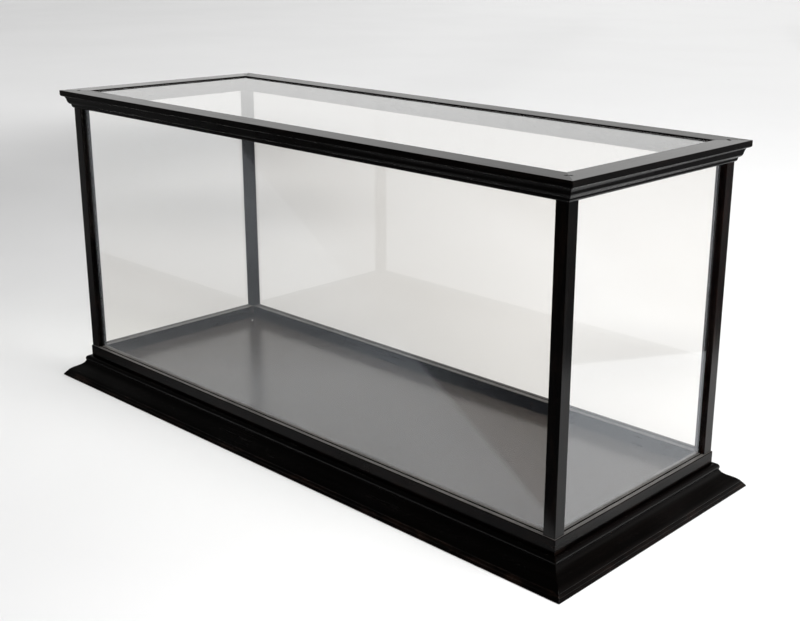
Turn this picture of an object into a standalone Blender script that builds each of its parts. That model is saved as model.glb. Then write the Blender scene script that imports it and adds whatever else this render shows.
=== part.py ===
"""Model display case: a moulded base with a floor board, four grooved corner posts, four glass
panes that slide in from above, and a crown-moulded lid with its own pane that lifts off.

Metres, +Z up. X runs along the long side and the front faces -Y. The origin is the middle of the
underside, on the surface that the case stands on.

Every moulding is drawn as a section: "inset" is the distance inwards from the piece's own outer
edge, and height is measured from the underside of the case.
"""
import math

import bmesh
import bpy
from mathutils import Matrix, Vector

MM = 0.001

# ---------------------------------------------------------------- driving dimensions
BASE_LENGTH = 1016 * MM
BASE_DEPTH = 405 * MM
CASE_HEIGHT = 460 * MM
GAP = 0.3 * MM                      # between pieces that touch
MITRE_GAP = 0.22 * MM               # at each mitred end, measured along the piece

# skirt: sloping foot in two steps with a fine quirk above each, ogee, bead, and a rebate for the
# board on the inside
SKIRT_TOE = 1.0 * MM
SKIRT_LOW_QUIRK = (2.0 * MM, 3.6 * MM)
SKIRT_STEP = (2.45 * MM, 4.4 * MM)
SKIRT_QUIRK = (4.8 * MM, 6.9 * MM)
SKIRT_OGEE_START = (5.4 * MM, 7.9 * MM)
SKIRT_OGEE_MIDDLE = (15.0 * MM, 14.6 * MM)
SKIRT_OGEE_END = (25.6 * MM, 22.4 * MM)
SKIRT_BEAD_CENTRE = (31.9 * MM, 27.7 * MM)
SKIRT_BEAD_RADIUS = 5.5 * MM
SKIRT_TOP_INSET = 33.0 * MM
SKIRT_FOOT_INSET = 38.0 * MM
LEDGE_HEIGHT = 18.4 * MM

BOARD_THICKNESS = 12.0 * MM
BOARD_BOTTOM = LEDGE_HEIGHT + GAP
BOARD_TOP = BOARD_BOTTOM + BOARD_THICKNESS

# rail: the band around the floor
RAIL_INSET = 34.5 * MM              # from the skirt's outer edge
RAIL_WIDTH = 18.0 * MM
RAIL_BOTTOM = BOARD_TOP + GAP
RAIL_TOP = 50.5 * MM
RAIL_ARRIS = 1.0 * MM
RAIL_GROOVE_DEPTH = 6.0 * MM

# post
POST_INSET = 36.0 * MM              # from the skirt's outer edge
POST_SIZE = 17.0 * MM
POST_ARRIS = 0.5 * MM
POST_SLOT_DEPTH = 5.0 * MM

# glass
GLASS = 3.0 * MM
PANE_INSET = POST_INSET + 4.7 * MM  # outer face of the side panes, from the skirt's outer edge
SLOT_INSET = PANE_INSET - GAP
SLOT_WIDTH = GLASS + 2 * GAP

# lid: a fascia rounded below, an ogee and a small rounded fillet under it, and a groove for the side
# panes; the top pane drops in from above and rests on beads along the inner faces
LID_INSET = 21.5 * MM               # lid's outer edge, from the skirt's outer edge
LID_THICKNESS = 26.0 * MM
LID_WIDTH = 33.5 * MM
LID_BOTTOM = CASE_HEIGHT - LID_THICKNESS
LID_ARRIS = 0.5 * MM
LID_INNER_ARRIS = 0.8 * MM
LID_GROOVE_DEPTH = 5.0 * MM
TOP_PANE_DROP = 2.0 * MM            # top of the pane below the lid's top
TOP_PANE_PLAY = 0.8 * MM            # around the pane's edges

BEAD_WIDTH = 6.2 * MM
BEAD_ARRIS = 0.5 * MM

# corner blocks under the board
BLOCK_LEG = 80.0 * MM
BLOCK_TIP = 8.0 * MM
BLOCK_THICKNESS = 15.0 * MM

# fasteners
LID_SCREW_AT = (8.2 * MM, 4.6 * MM)  # from the post's outer corner, and the same with x and y exchanged
LID_SCREW_HEAD = 2.0 * MM            # radius
LID_SCREW_SHANK = 1.3 * MM
LID_SCREW_LENGTH = 50.0 * MM
LID_SCREW_SINK = 0.4 * MM            # top of the head below the lid's top
POST_SCREW_HEAD = 4.0 * MM
POST_SCREW_SHANK = 1.8 * MM
POST_SCREW_LENGTH = 82.0 * MM
PIN_INSET = 69.0 * MM                # from the skirt's outer edge, both ways
PIN_HEAD = 1.5 * MM
PIN_SHANK = 0.8 * MM
PIN_LENGTH = 22.0 * MM

HALF_X = BASE_LENGTH / 2
HALF_Y = BASE_DEPTH / 2
SIDES = ("front", "right", "back", "left")
CORNERS = ("front_left", "front_right", "back_right", "back_left")

# colour, roughness, metallic, transmission
BLACK_BROWN = ((0.016, 0.011, 0.009, 1.0), 0.30, 0.0, 0.0)
RAIL_BROWN = ((0.020, 0.013, 0.010, 1.0), 0.28, 0.0, 0.0)
POST_BROWN = ((0.022, 0.012, 0.008, 1.0), 0.32, 0.0, 0.0)
FLOOR_BROWN = ((0.030, 0.022, 0.018, 1.0), 0.38, 0.0, 0.0)
BARE_WOOD = ((0.42, 0.28, 0.16, 1.0), 0.70, 0.0, 0.0)
CLEAR_GLASS = ((0.96, 0.985, 0.975, 1.0), 0.01, 0.0, 1.0)
BLACKED_STEEL = ((0.06, 0.058, 0.056, 1.0), 0.42, 0.9, 0.0)
ZINC_STEEL = ((0.55, 0.55, 0.53, 1.0), 0.35, 1.0, 0.0)


# ---------------------------------------------------------------- scene set-up
for old in list(bpy.data.objects):
    bpy.data.objects.remove(old, do_unlink=True)

case = bpy.data.collections.new("model_display_case")
cutters = bpy.data.collections.new("cutters")
for group in (case, cutters):
    bpy.context.scene.collection.children.link(group)


def empty(name, location, parent=None):
    holder = bpy.data.objects.new(name, None)
    holder.location = location
    holder.empty_display_size = 0.03
    case.objects.link(holder)
    if parent is not None:
        holder.parent = parent
        holder.location = Vector(location) - Vector(parent.location)
    return holder


base_group = empty("base_group", (0, 0, 0))
lid_group = empty("lid_group", (0, 0, LID_BOTTOM), base_group)


def paint(obj, look):
    colour, roughness, metallic, transmission = look
    material = bpy.data.materials.new(obj.name + "_finish")
    material.use_nodes = True
    shader = material.node_tree.nodes["Principled BSDF"]
    shader.inputs["Base Color"].default_value = colour
    shader.inputs["Roughness"].default_value = roughness
    shader.inputs["Metallic"].default_value = metallic
    shader.inputs["Transmission Weight"].default_value = transmission
    material.diffuse_color = colour
    obj.data.materials.clear()
    obj.data.materials.append(material)


def add_part(name, mesh, look, holder, location=(0, 0, 0), turn=0):
    """A piece at a world location, turned by quarter turns about Z, carried by its holder."""
    obj = bpy.data.objects.new(name, mesh)
    case.objects.link(obj)
    obj.parent = holder
    origin = Vector(holder.location) + (Vector(holder.parent.location) if holder.parent else Vector())
    obj.location = Vector(location) - origin
    obj.rotation_euler = (0, 0, turn * math.pi / 2)
    paint(obj, look)
    return obj


# ---------------------------------------------------------------- shape helpers
def ellipse(cx, cy, rx, ry, start, end, count):
    """Points of an elliptical arc, angles in degrees."""
    points = []
    for i in range(count + 1):
        a = math.radians(start + (end - start) * i / count)
        points.append((cx + rx * math.cos(a), cy + ry * math.sin(a)))
    return points


def sweep(p0, p1, p2, p3, count):
    """Points of a cubic curve, ends included."""
    points = []
    for i in range(count + 1):
        t = i / count
        a, b, c, d = (1 - t) ** 3, 3 * t * (1 - t) ** 2, 3 * t * t * (1 - t), t ** 3
        points.append(tuple(a * p0[k] + b * p1[k] + c * p2[k] + d * p3[k] for k in (0, 1)))
    return points


def tidy(points):
    """Drop a point that repeats the one before it."""
    kept = []
    for p in points:
        if not kept or math.dist(p, kept[-1]) > 1e-6:
            kept.append(p)
    if math.dist(kept[0], kept[-1]) < 1e-6:
        kept.pop()
    return kept


def plate(name, outline, thickness):
    """A flat outline given a thickness, centred on its own plane, as a closed mesh."""
    outline = tidy(outline)
    curve = bpy.data.curves.new(name + "_outline", "CURVE")
    curve.dimensions = "2D"
    curve.fill_mode = "BOTH"
    curve.extrude = thickness / 2
    spline = curve.splines.new("POLY")
    spline.points.add(len(outline) - 1)
    for point, (x, y) in zip(spline.points, outline):
        point.co = (x, y, 0, 1)
    spline.use_cyclic_u = True
    holder = bpy.data.objects.new(name + "_outline", curve)
    case.objects.link(holder)
    graph = bpy.context.evaluated_depsgraph_get()
    mesh = bpy.data.meshes.new_from_object(holder.evaluated_get(graph))
    mesh.name = name
    bpy.data.objects.remove(holder, do_unlink=True)
    bpy.data.curves.remove(curve)
    work = bmesh.new()
    work.from_mesh(mesh)
    bmesh.ops.remove_doubles(work, verts=work.verts, dist=1e-6)
    bmesh.ops.recalc_face_normals(work, faces=work.faces)
    work.to_mesh(mesh)
    work.free()
    return mesh


def moulding(name, section, length):
    """A mitred length of moulding along X: section points are (inset, height), and the ends run
    at 45 degrees so that the outer edge keeps the full length."""
    mesh = plate(name, section, length)
    # the outline's plane becomes the section (Y, Z) and its thickness runs along X
    mesh.transform(Matrix(((0, 0, 1, 0), (1, 0, 0, 0), (0, 1, 0, 0), (0, 0, 0, 1))))
    for vertex in mesh.vertices:
        reach = length / 2 - vertex.co.y - MITRE_GAP
        vertex.co.x = math.copysign(reach, vertex.co.x)
    mesh.update()
    return mesh


def frame(prefix, section, inset, look, holder):
    """Four mitred lengths around the case, their outer edges at the given inset."""
    pieces = {}
    half_x, half_y = HALF_X - inset, HALF_Y - inset
    long_mesh = moulding(prefix + "_long", section, 2 * half_x)
    short_mesh = moulding(prefix + "_short", section, 2 * half_y)
    places = ((0, -half_y), (half_x, 0), (0, half_y), (-half_x, 0))
    for turn, side in enumerate(SIDES):
        mesh = (long_mesh, short_mesh)[turn % 2].copy()
        x, y = places[turn]
        pieces[side] = add_part(prefix + "_" + side, mesh, look, holder, (x, y, 0), turn)
    return pieces


def turned(name, profile, sides):
    """A turned piece: profile points (radius, height) run from the top down the outer side."""
    mesh = bpy.data.meshes.new(name)
    work = bmesh.new()
    ring = [work.verts.new((r, 0, z)) for r, z in profile]
    for a, b in zip(ring, ring[1:]):
        work.edges.new((a, b))
    work.to_mesh(mesh)
    work.free()
    return mesh


def lathe(obj, sides):
    spin = obj.modifiers.new("turned", "SCREW")
    spin.axis = "Z"
    spin.angle = 2 * math.pi
    spin.steps = spin.render_steps = sides
    spin.use_merge_vertices = True
    spin.merge_threshold = 0.00001
    spin.use_smooth_shade = False


def cutter(name, profile, x, y, sides=16):
    """A turned cutter that stands at x, y."""
    obj = bpy.data.objects.new(name, turned(name, profile, sides))
    cutters.objects.link(obj)
    obj.location = (x, y, 0)
    obj.hide_render = True
    obj.display_type = "WIRE"
    lathe(obj, sides)
    return obj


def cut(obj, tool):
    boolean = obj.modifiers.new("cut_" + tool.name, "BOOLEAN")
    boolean.operation = "DIFFERENCE"
    boolean.solver = "EXACT"
    boolean.object = tool


def corner_point(corner, inset_x, inset_y):
    """World x, y at insets from the skirt's outer edges, at one corner."""
    sign_x = -1 if corner.endswith("left") else 1
    sign_y = -1 if corner.startswith("front") else 1
    return sign_x * (HALF_X - inset_x), sign_y * (HALF_Y - inset_y)


# ---------------------------------------------------------------- base
foot = [(0, 0)] + sweep((0, SKIRT_TOE), (0.7 * MM, 2.1 * MM), (1.3 * MM, 2.9 * MM), SKIRT_LOW_QUIRK, 3)
foot += [(SKIRT_LOW_QUIRK[0] + 0.3 * MM, SKIRT_LOW_QUIRK[1])]
foot += sweep(SKIRT_STEP, (3.2 * MM, 5.3 * MM), (4.0 * MM, 6.1 * MM), SKIRT_QUIRK, 3)
foot += [(SKIRT_QUIRK[0] + 0.4 * MM, SKIRT_QUIRK[1])]
ogee_low = sweep(SKIRT_OGEE_START, (7.2 * MM, 10.2 * MM), (10.5 * MM, 12.3 * MM), SKIRT_OGEE_MIDDLE, 5)
ogee_high = sweep(SKIRT_OGEE_MIDDLE, (19.2 * MM, 16.6 * MM), (23.8 * MM, 19.0 * MM), SKIRT_OGEE_END, 5)
ogee_high += [(26.2 * MM, 23.2 * MM)]
bead_stop = math.degrees(math.acos((SKIRT_TOP_INSET - SKIRT_BEAD_CENTRE[0]) / SKIRT_BEAD_RADIUS))
bead_round = ellipse(*SKIRT_BEAD_CENTRE, SKIRT_BEAD_RADIUS, SKIRT_BEAD_RADIUS, 215, bead_stop, 11)
skirt_section = foot + ogee_low + ogee_high + bead_round + [
    (SKIRT_TOP_INSET, LEDGE_HEIGHT),
    (SKIRT_FOOT_INSET, LEDGE_HEIGHT),
    (SKIRT_FOOT_INSET, 0),
]
skirts = frame("skirt", skirt_section, 0, BLACK_BROWN, base_group)

board_half_x = HALF_X - SKIRT_TOP_INSET - GAP
board_half_y = HALF_Y - SKIRT_TOP_INSET - GAP
board_outline = [
    (-board_half_x, -board_half_y), (board_half_x, -board_half_y),
    (board_half_x, board_half_y), (-board_half_x, board_half_y),
]
base_board = add_part("base_board", plate("base_board", board_outline, BOARD_THICKNESS), FLOOR_BROWN,
                      base_group, (0, 0, (BOARD_BOTTOM + BOARD_TOP) / 2))

# rails: the glass groove lines up with the posts' slots
groove_start = SLOT_INSET - RAIL_INSET
groove_end = groove_start + SLOT_WIDTH
rail_section = [(0, RAIL_BOTTOM)]
rail_section += ellipse(RAIL_ARRIS, RAIL_TOP - RAIL_ARRIS, RAIL_ARRIS, RAIL_ARRIS, 180, 90, 3)
rail_section += [
    (groove_start, RAIL_TOP), (groove_start, RAIL_TOP - RAIL_GROOVE_DEPTH),
    (groove_end, RAIL_TOP - RAIL_GROOVE_DEPTH), (groove_end, RAIL_TOP),
    (RAIL_WIDTH, RAIL_TOP), (RAIL_WIDTH, RAIL_BOTTOM),
]
rails = frame("rail", rail_section, RAIL_INSET, RAIL_BROWN, base_group)

# posts: drawn for the front left corner, with the outer corner at the outline's origin
slot_start = SLOT_INSET - POST_INSET
slot_end = slot_start + SLOT_WIDTH
slot_floor = POST_SIZE - POST_SLOT_DEPTH
far = POST_SIZE - POST_ARRIS
post_outline = ellipse(POST_ARRIS, POST_ARRIS, POST_ARRIS, POST_ARRIS, 180, 270, 3)
post_outline += ellipse(far, POST_ARRIS, POST_ARRIS, POST_ARRIS, 270, 360, 3)
post_outline += [(POST_SIZE, slot_start), (slot_floor, slot_start), (slot_floor, slot_end), (POST_SIZE, slot_end)]
post_outline += ellipse(far, far, POST_ARRIS, POST_ARRIS, 0, 90, 3)
post_outline += [(slot_end, POST_SIZE), (slot_end, slot_floor), (slot_start, slot_floor), (slot_start, POST_SIZE)]
post_outline += ellipse(POST_ARRIS, far, POST_ARRIS, POST_ARRIS, 90, 180, 3)
post_outline = [(x - POST_SIZE / 2, y - POST_SIZE / 2) for x, y in post_outline]
POST_BOTTOM = RAIL_TOP + GAP
POST_TOP = LID_BOTTOM - GAP
post_mesh = plate("post", post_outline, POST_TOP - POST_BOTTOM)
posts = {}
for turn, corner in enumerate(CORNERS):
    x, y = corner_point(corner, POST_INSET + POST_SIZE / 2, POST_INSET + POST_SIZE / 2)
    posts[corner] = add_part("post_" + corner, post_mesh.copy(), POST_BROWN, base_group,
                             (x, y, (POST_TOP + POST_BOTTOM) / 2), turn)

# corner blocks, drawn for the front left corner
block_start = SKIRT_FOOT_INSET + GAP
block_outline = [(0, 0), (BLOCK_LEG, 0), (BLOCK_LEG, BLOCK_TIP), (BLOCK_TIP, BLOCK_LEG), (0, BLOCK_LEG)]
BLOCK_TOP = BOARD_BOTTOM - GAP
BLOCK_BOTTOM = BLOCK_TOP - BLOCK_THICKNESS
block_mesh = plate("glue_block", block_outline, BLOCK_THICKNESS)
blocks = {}
for turn, corner in enumerate(CORNERS):
    x, y = corner_point(corner, block_start, block_start)
    blocks[corner] = add_part("glue_block_" + corner, block_mesh.copy(), BARE_WOOD, base_group,
                              (x, y, (BLOCK_TOP + BLOCK_BOTTOM) / 2), turn)

# ---------------------------------------------------------------- glass panes
PANE_BOTTOM = RAIL_TOP - RAIL_GROOVE_DEPTH + GAP
PANE_TOP = LID_BOTTOM + LID_GROOVE_DEPTH - GAP
pane_end = POST_INSET + POST_SIZE - POST_SLOT_DEPTH + GAP
pane_height = PANE_TOP - PANE_BOTTOM
for turn, side in enumerate(SIDES):
    half = (HALF_X if turn % 2 == 0 else HALF_Y) - pane_end
    outline = [(-half, -pane_height / 2), (half, -pane_height / 2), (half, pane_height / 2), (-half, pane_height / 2)]
    mesh = plate("pane_" + side, outline, GLASS)
    mesh.transform(Matrix.Rotation(math.pi / 2, 4, "X"))
    middle = PANE_INSET + GLASS / 2
    place = ((0, middle - HALF_Y), (HALF_X - middle, 0), (0, HALF_Y - middle), (middle - HALF_X, 0))[turn]
    add_part("pane_" + side, mesh, CLEAR_GLASS, base_group, (*place, (PANE_TOP + PANE_BOTTOM) / 2), turn)

# ---------------------------------------------------------------- lid
top = CASE_HEIGHT
lid_groove = SLOT_INSET - LID_INSET
lid_section = ellipse(LID_ARRIS, top - LID_ARRIS, LID_ARRIS, LID_ARRIS, 90, 180, 2)
lid_section += ellipse(4.7 * MM, top - 6.6 * MM, 4.7 * MM, 2.8 * MM, 180, 270, 5)
lid_section += sweep((4.9 * MM, top - 9.9 * MM), (5.6 * MM, top - 11.0 * MM),
                     (6.5 * MM, top - 13.2 * MM), (6.9 * MM, top - 15.6 * MM), 5)
lid_section += sweep((6.9 * MM, top - 15.6 * MM), (7.25 * MM, top - 17.7 * MM),
                     (8.6 * MM, top - 20.2 * MM), (11.0 * MM, top - 20.9 * MM), 6)[1:]
lid_section += sweep((11.5 * MM, top - 21.6 * MM), (11.6 * MM, top - 23.2 * MM),
                     (12.0 * MM, top - 25.0 * MM), (13.2 * MM, top - 25.8 * MM), 4)
lid_section += [
    (13.4 * MM, LID_BOTTOM),
    (lid_groove, LID_BOTTOM), (lid_groove, LID_BOTTOM + LID_GROOVE_DEPTH),
    (lid_groove + SLOT_WIDTH, LID_BOTTOM + LID_GROOVE_DEPTH), (lid_groove + SLOT_WIDTH, LID_BOTTOM),
    (LID_WIDTH, LID_BOTTOM),
]
lid_section += ellipse(LID_WIDTH - LID_INNER_ARRIS, top - LID_INNER_ARRIS, LID_INNER_ARRIS, LID_INNER_ARRIS, 0, 90, 3)
lid_rails = frame("lid_rail", lid_section, LID_INSET, BLACK_BROWN, lid_group)

top_pane_inset = LID_INSET + LID_WIDTH + TOP_PANE_PLAY
pane_x, pane_y = HALF_X - top_pane_inset, HALF_Y - top_pane_inset
top_pane_top = top - TOP_PANE_DROP
add_part("top_pane", plate("top_pane", [(-pane_x, -pane_y), (pane_x, -pane_y), (pane_x, pane_y), (-pane_x, pane_y)], GLASS),
         CLEAR_GLASS, lid_group, (0, 0, top_pane_top - GLASS / 2))

bead_inset = LID_INSET + LID_WIDTH + GAP
bead_top = top_pane_top - GLASS - GAP
bead_section = [(0, LID_BOTTOM), (0, bead_top), (BEAD_WIDTH, bead_top)]
bead_section += ellipse(BEAD_WIDTH - BEAD_ARRIS, LID_BOTTOM + BEAD_ARRIS, BEAD_ARRIS, BEAD_ARRIS, 0, -90, 3)
frame("glazing_bead", bead_section, bead_inset, BLACK_BROWN, lid_group)

# ---------------------------------------------------------------- fasteners
def screw_profile(head_top, head, shank, length, point):
    """Countersunk screw with its flat head upwards."""
    cone = head - shank
    return [(0, head_top), (head, head_top), (head, head_top - 0.3 * MM), (shank, head_top - 0.3 * MM - cone),
            (shank, head_top - length + point), (0, head_top - length)]


head_top = top - LID_SCREW_SINK
lid_screw_shape = screw_profile(head_top, LID_SCREW_HEAD, LID_SCREW_SHANK, LID_SCREW_LENGTH, 3 * MM)
widen = GAP
lid_hole_shape = [(0, top + 1 * MM), (LID_SCREW_HEAD + widen, top + 1 * MM), (LID_SCREW_HEAD + widen, head_top - 0.5 * MM),
                  (LID_SCREW_SHANK + widen, head_top - 0.6 * MM - (LID_SCREW_HEAD - LID_SCREW_SHANK)),
                  (LID_SCREW_SHANK + widen, head_top - LID_SCREW_LENGTH - widen),
                  (0, head_top - LID_SCREW_LENGTH - widen)]
for corner in CORNERS:
    end_side = "left" if corner.endswith("left") else "right"
    face_side = "front" if corner.startswith("front") else "back"
    for side, (across, along) in ((face_side, LID_SCREW_AT), (end_side, LID_SCREW_AT[::-1])):
        x, y = corner_point(corner, POST_INSET + across, POST_INSET + along)
        name = "lid_screw_" + corner + ("_a" if side == face_side else "_b")
        screw = add_part(name, turned(name, [(r, z - head_top) for r, z in lid_screw_shape], 12), BLACKED_STEEL,
                         lid_group, (x, y, head_top))
        lathe(screw, 12)
        tool = cutter("hole_" + name, lid_hole_shape, x, y)
        cut(lid_rails[side], tool)
        cut(posts[corner], tool)

# the long screws stand head down in the blocks' undersides
low = BLOCK_BOTTOM + 0.5 * MM
cone = POST_SCREW_HEAD - POST_SCREW_SHANK
post_screw_shape = [(0, low + POST_SCREW_LENGTH), (POST_SCREW_SHANK, low + POST_SCREW_LENGTH - 4 * MM),
                    (POST_SCREW_SHANK, low + 0.4 * MM + cone), (POST_SCREW_HEAD, low + 0.4 * MM), (POST_SCREW_HEAD, low), (0, low)]
wide = POST_SCREW_SHANK + GAP
post_hole_shape = [(0, low + POST_SCREW_LENGTH + GAP), (wide, low + POST_SCREW_LENGTH + GAP), (wide, low + 0.7 * MM + cone),
                   (POST_SCREW_HEAD + GAP, low + 0.7 * MM), (POST_SCREW_HEAD + GAP, BLOCK_BOTTOM - 1 * MM), (0, BLOCK_BOTTOM - 1 * MM)]
# the pins stand in the board's top and reach into the blocks
pin_top = BOARD_TOP + GAP + 0.6 * MM
pin_shape = [(0, pin_top), (PIN_HEAD * 0.7, pin_top - 0.1 * MM), (PIN_HEAD, BOARD_TOP + GAP + 0.2 * MM), (PIN_HEAD, BOARD_TOP + GAP),
             (PIN_SHANK, BOARD_TOP + GAP), (PIN_SHANK, pin_top - PIN_LENGTH + 1 * MM), (0, pin_top - PIN_LENGTH)]
pin_hole_shape = [(0, BOARD_TOP + 1 * MM), (PIN_SHANK + GAP, BOARD_TOP + 1 * MM), (PIN_SHANK + GAP, pin_top - PIN_LENGTH - GAP),
                  (0, pin_top - PIN_LENGTH - GAP)]
for corner in CORNERS:
    end_side = "left" if corner.endswith("left") else "right"
    face_side = "front" if corner.startswith("front") else "back"
    middle = POST_INSET + POST_SIZE / 2
    x, y = corner_point(corner, middle, middle)
    name = "post_screw_" + corner
    screw = add_part(name, turned(name, [(r, z - low) for r, z in post_screw_shape], 12), ZINC_STEEL, base_group, (x, y, low))
    lathe(screw, 12)
    tool = cutter("hole_" + name, post_hole_shape, x, y)
    for piece in (blocks[corner], base_board, rails[end_side], rails[face_side], posts[corner]):
        cut(piece, tool)

    x, y = corner_point(corner, PIN_INSET, PIN_INSET)
    name = "floor_pin_" + corner
    pin = add_part(name, turned(name, [(r, z - BOARD_TOP) for r, z in pin_shape], 12), ZINC_STEEL, base_group, (x, y, BOARD_TOP))
    lathe(pin, 12)
    tool = cutter("hole_" + name, pin_hole_shape, x, y)
    for piece in (base_board, blocks[corner]):
        cut(piece, tool)
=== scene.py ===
"""Looks of the model display case: finely moulded lacquered wood, clear glass, screws and pins,
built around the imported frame. Metres, +Z up, X along the long side, front towards -Y."""

import math

import bmesh
import bpy
from mathutils import Matrix, Vector


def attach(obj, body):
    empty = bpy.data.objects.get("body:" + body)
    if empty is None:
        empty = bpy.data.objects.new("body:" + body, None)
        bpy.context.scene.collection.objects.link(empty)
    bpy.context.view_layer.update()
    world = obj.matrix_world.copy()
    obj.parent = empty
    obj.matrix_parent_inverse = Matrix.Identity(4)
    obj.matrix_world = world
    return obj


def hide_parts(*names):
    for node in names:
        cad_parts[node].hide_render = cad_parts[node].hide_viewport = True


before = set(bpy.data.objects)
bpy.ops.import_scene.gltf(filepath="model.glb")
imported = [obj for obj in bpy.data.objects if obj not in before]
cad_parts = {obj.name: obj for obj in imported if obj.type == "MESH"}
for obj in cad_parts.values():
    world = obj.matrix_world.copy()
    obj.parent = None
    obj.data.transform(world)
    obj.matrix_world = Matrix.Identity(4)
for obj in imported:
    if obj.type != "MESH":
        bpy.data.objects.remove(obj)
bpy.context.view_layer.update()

MM = 0.001
SIDES = ("front", "right", "back", "left")
CORNERS = ("front_left", "front_right", "back_right", "back_left")
scene = bpy.context.scene

# ------------------------------------------------------------------ sizes, as in the frame
HALF_X, HALF_Y, HEIGHT = 508.0, 202.5, 460.0          # millimetres, as all section sizes below
MITRE = 0.07                                          # half of the open line at a mitre
RAIL_INSET, RAIL_WIDTH, RAIL_LOW, RAIL_TOP = 34.5, 18.0, 31.0, 50.5
POST_INSET, POST_SIZE = 36.0, 17.0
POST_LOW, POST_TOP = 50.8, 433.7
SLOT_INSET, SLOT_WIDTH = 40.4, 3.6
LID_INSET, LID_WIDTH, LID_LOW = 21.5, 33.5, 434.0
BOARD_TOP = 30.7
PANE_INSET, GLASS = 40.7, 3.0
PANE_LOW, PANE_TOP, PANE_END = 44.8, 438.7, 48.3


# ------------------------------------------------------------------ section drawing
def arc(cx, cy, rx, ry, start, end, count):
    out = []
    for i in range(count + 1):
        a = math.radians(start + (end - start) * i / count)
        out.append((cx + rx * math.cos(a), cy + ry * math.sin(a)))
    return out


def cubic(p0, p1, p2, p3, count):
    out = []
    for i in range(count + 1):
        t = i / count
        w = ((1 - t) ** 3, 3 * t * (1 - t) ** 2, 3 * t * t * (1 - t), t ** 3)
        out.append(tuple(sum(k * p[j] for k, p in zip(w, (p0, p1, p2, p3))) for j in (0, 1)))
    return out


def tidy(points, least=1e-4):
    kept = []
    for p in points:
        if not kept or math.dist(p, kept[-1]) > least:
            kept.append(p)
    if math.dist(kept[0], kept[-1]) < least:
        kept.pop()
    return kept


def eased(points, radius, sharper_than=33.0, count=4):
    """A closed outline with each sharp corner rounded to the radius, or less on a short side."""
    points, out = tidy(points), []
    n = len(points)
    for i, p in enumerate(points):
        a, b, c = Vector(points[i - 1]), Vector(p), Vector(points[(i + 1) % n])
        u, v = (a - b), (c - b)
        turn = math.pi - u.angle(v)
        if math.degrees(turn) < sharper_than:
            out.append(tuple(b))
            continue
        reach = min(radius * math.tan(turn / 2), 0.42 * u.length, 0.42 * v.length)
        start, end = b + u.normalized() * reach, b + v.normalized() * reach
        for k in range(count + 1):
            t = k / count
            out.append(tuple(start * (1 - t) ** 2 + b * (2 * t * (1 - t)) + end * t * t))
    return tidy(out)


def outward(points):
    """The outline anticlockwise, its outward normals, and how convex it is at each point, 0 to 1."""
    area = sum(points[i - 1][0] * p[1] - p[0] * points[i - 1][1] for i, p in enumerate(points))
    if area < 0:
        points = points[::-1]
    n, normals, convex = len(points), [], []
    for i, p in enumerate(points):
        a, c = Vector(points[i - 1]), Vector(points[(i + 1) % n])
        b = Vector(p)
        d0, d1 = (b - a).normalized(), (c - b).normalized()
        along = d0 + d1
        along = along.normalized() if along.length > 1e-6 else d1
        normals.append(Vector((along.y, -along.x)))
        turn = math.atan2(d0.x * d1.y - d0.y * d1.x, d0.dot(d1))
        bend = turn / max(0.5 * ((b - a).length + (c - b).length), 0.02)      # radians a millimetre
        convex.append(min(max((bend - 0.10) / 0.9, 0.0), 1.0))
    spread = [max(convex[i], 0.55 * convex[i - 1], 0.55 * convex[(i + 1) % n]) for i in range(n)]
    return points, normals, spread


# ------------------------------------------------------------------ meshes
def lofted(name, loops, wear, seed):
    """A closed mesh through equal loops of points in millimetres, with its wear and seed attributes."""
    work = bmesh.new()
    worn, mark = work.verts.layers.float.new("wear"), work.verts.layers.float.new("seed")
    rows = []
    for loop, values in zip(loops, wear):
        row = []
        for p, w in zip(loop, values):
            vertex = work.verts.new(Vector(p) * MM)
            vertex[worn], vertex[mark] = w, seed
            row.append(vertex)
        rows.append(row)
    n = len(rows[0])
    for a, b in zip(rows, rows[1:]):
        for i in range(n):
            j = (i + 1) % n
            work.faces.new((a[i], a[j], b[j], b[i]))
    work.faces.new(rows[0][::-1])
    work.faces.new(rows[-1])
    bmesh.ops.recalc_face_normals(work, faces=work.faces)
    mesh = bpy.data.meshes.new(name)
    work.to_mesh(mesh)
    work.free()
    return mesh


def length_stations(half):
    """Places along a piece from -1 to 1, close together near the ends."""
    near = [0.0, 0.45, 1.5, 4.0, 9.0, 18.0, 40.0]
    count = max(2, round(2 * (half - 40.0) / 75.0))
    middle = [-half + 40.0 + 2 * (half - 40.0) * k / count for k in range(1, count)]
    ends = [-half + d for d in near]
    return [x / half for x in ends + middle + [-x for x in reversed(ends)]]


def mitred(name, section, half, seed, easing=0.16, lighter_below=-1.0):
    """A mitred moulding along X: section points are (inset, height) and the ends run at 45 degrees.
    Below a given height its foot takes some of the worn colour and reads lighter."""
    points, normals, convex = outward(section)
    loops, wear = [], []
    places = length_stations(half)
    for k, t in enumerate(places):
        shrink = easing if k in (0, len(places) - 1) else 0.0
        off_end = (1 - abs(t)) * half
        loop, values = [], []
        for (inset, height), normal, c in zip(points, normals, convex):
            i, h = inset - normal.x * shrink, height - normal.y * shrink
            loop.append((t * (half - i - MITRE), i, h))
            # below that height the foot takes half the wear value, so it takes some of the worn colour and reads
            # lighter
            rubbed = 0.50 if height < lighter_below else 0.0
            values.append(min(1.0, max(c, rubbed) + (0.35 + 0.5 * c) * math.exp(-off_end / 5.0)))
        loops.append(loop)
        wear.append(values)
    return lofted(name, loops, wear, seed)


def straight(name, section, half, seed, easing=0.22):
    """A square-ended length along X with the section in Y and Z, its end edges eased."""
    points, normals, convex = outward(section)
    loops, wear = [], []
    places = length_stations(half)
    for k, t in enumerate(places):
        shrink = easing if k in (0, len(places) - 1) else 0.0
        off_end = (1 - abs(t)) * half
        loops.append([(t * half, p[0] - n.x * shrink, p[1] - n.y * shrink) for p, n in zip(points, normals)])
        wear.append([min(1.0, c + 0.5 * math.exp(-off_end / 2.0)) for c in convex])
    return lofted(name, loops, wear, seed)


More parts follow.
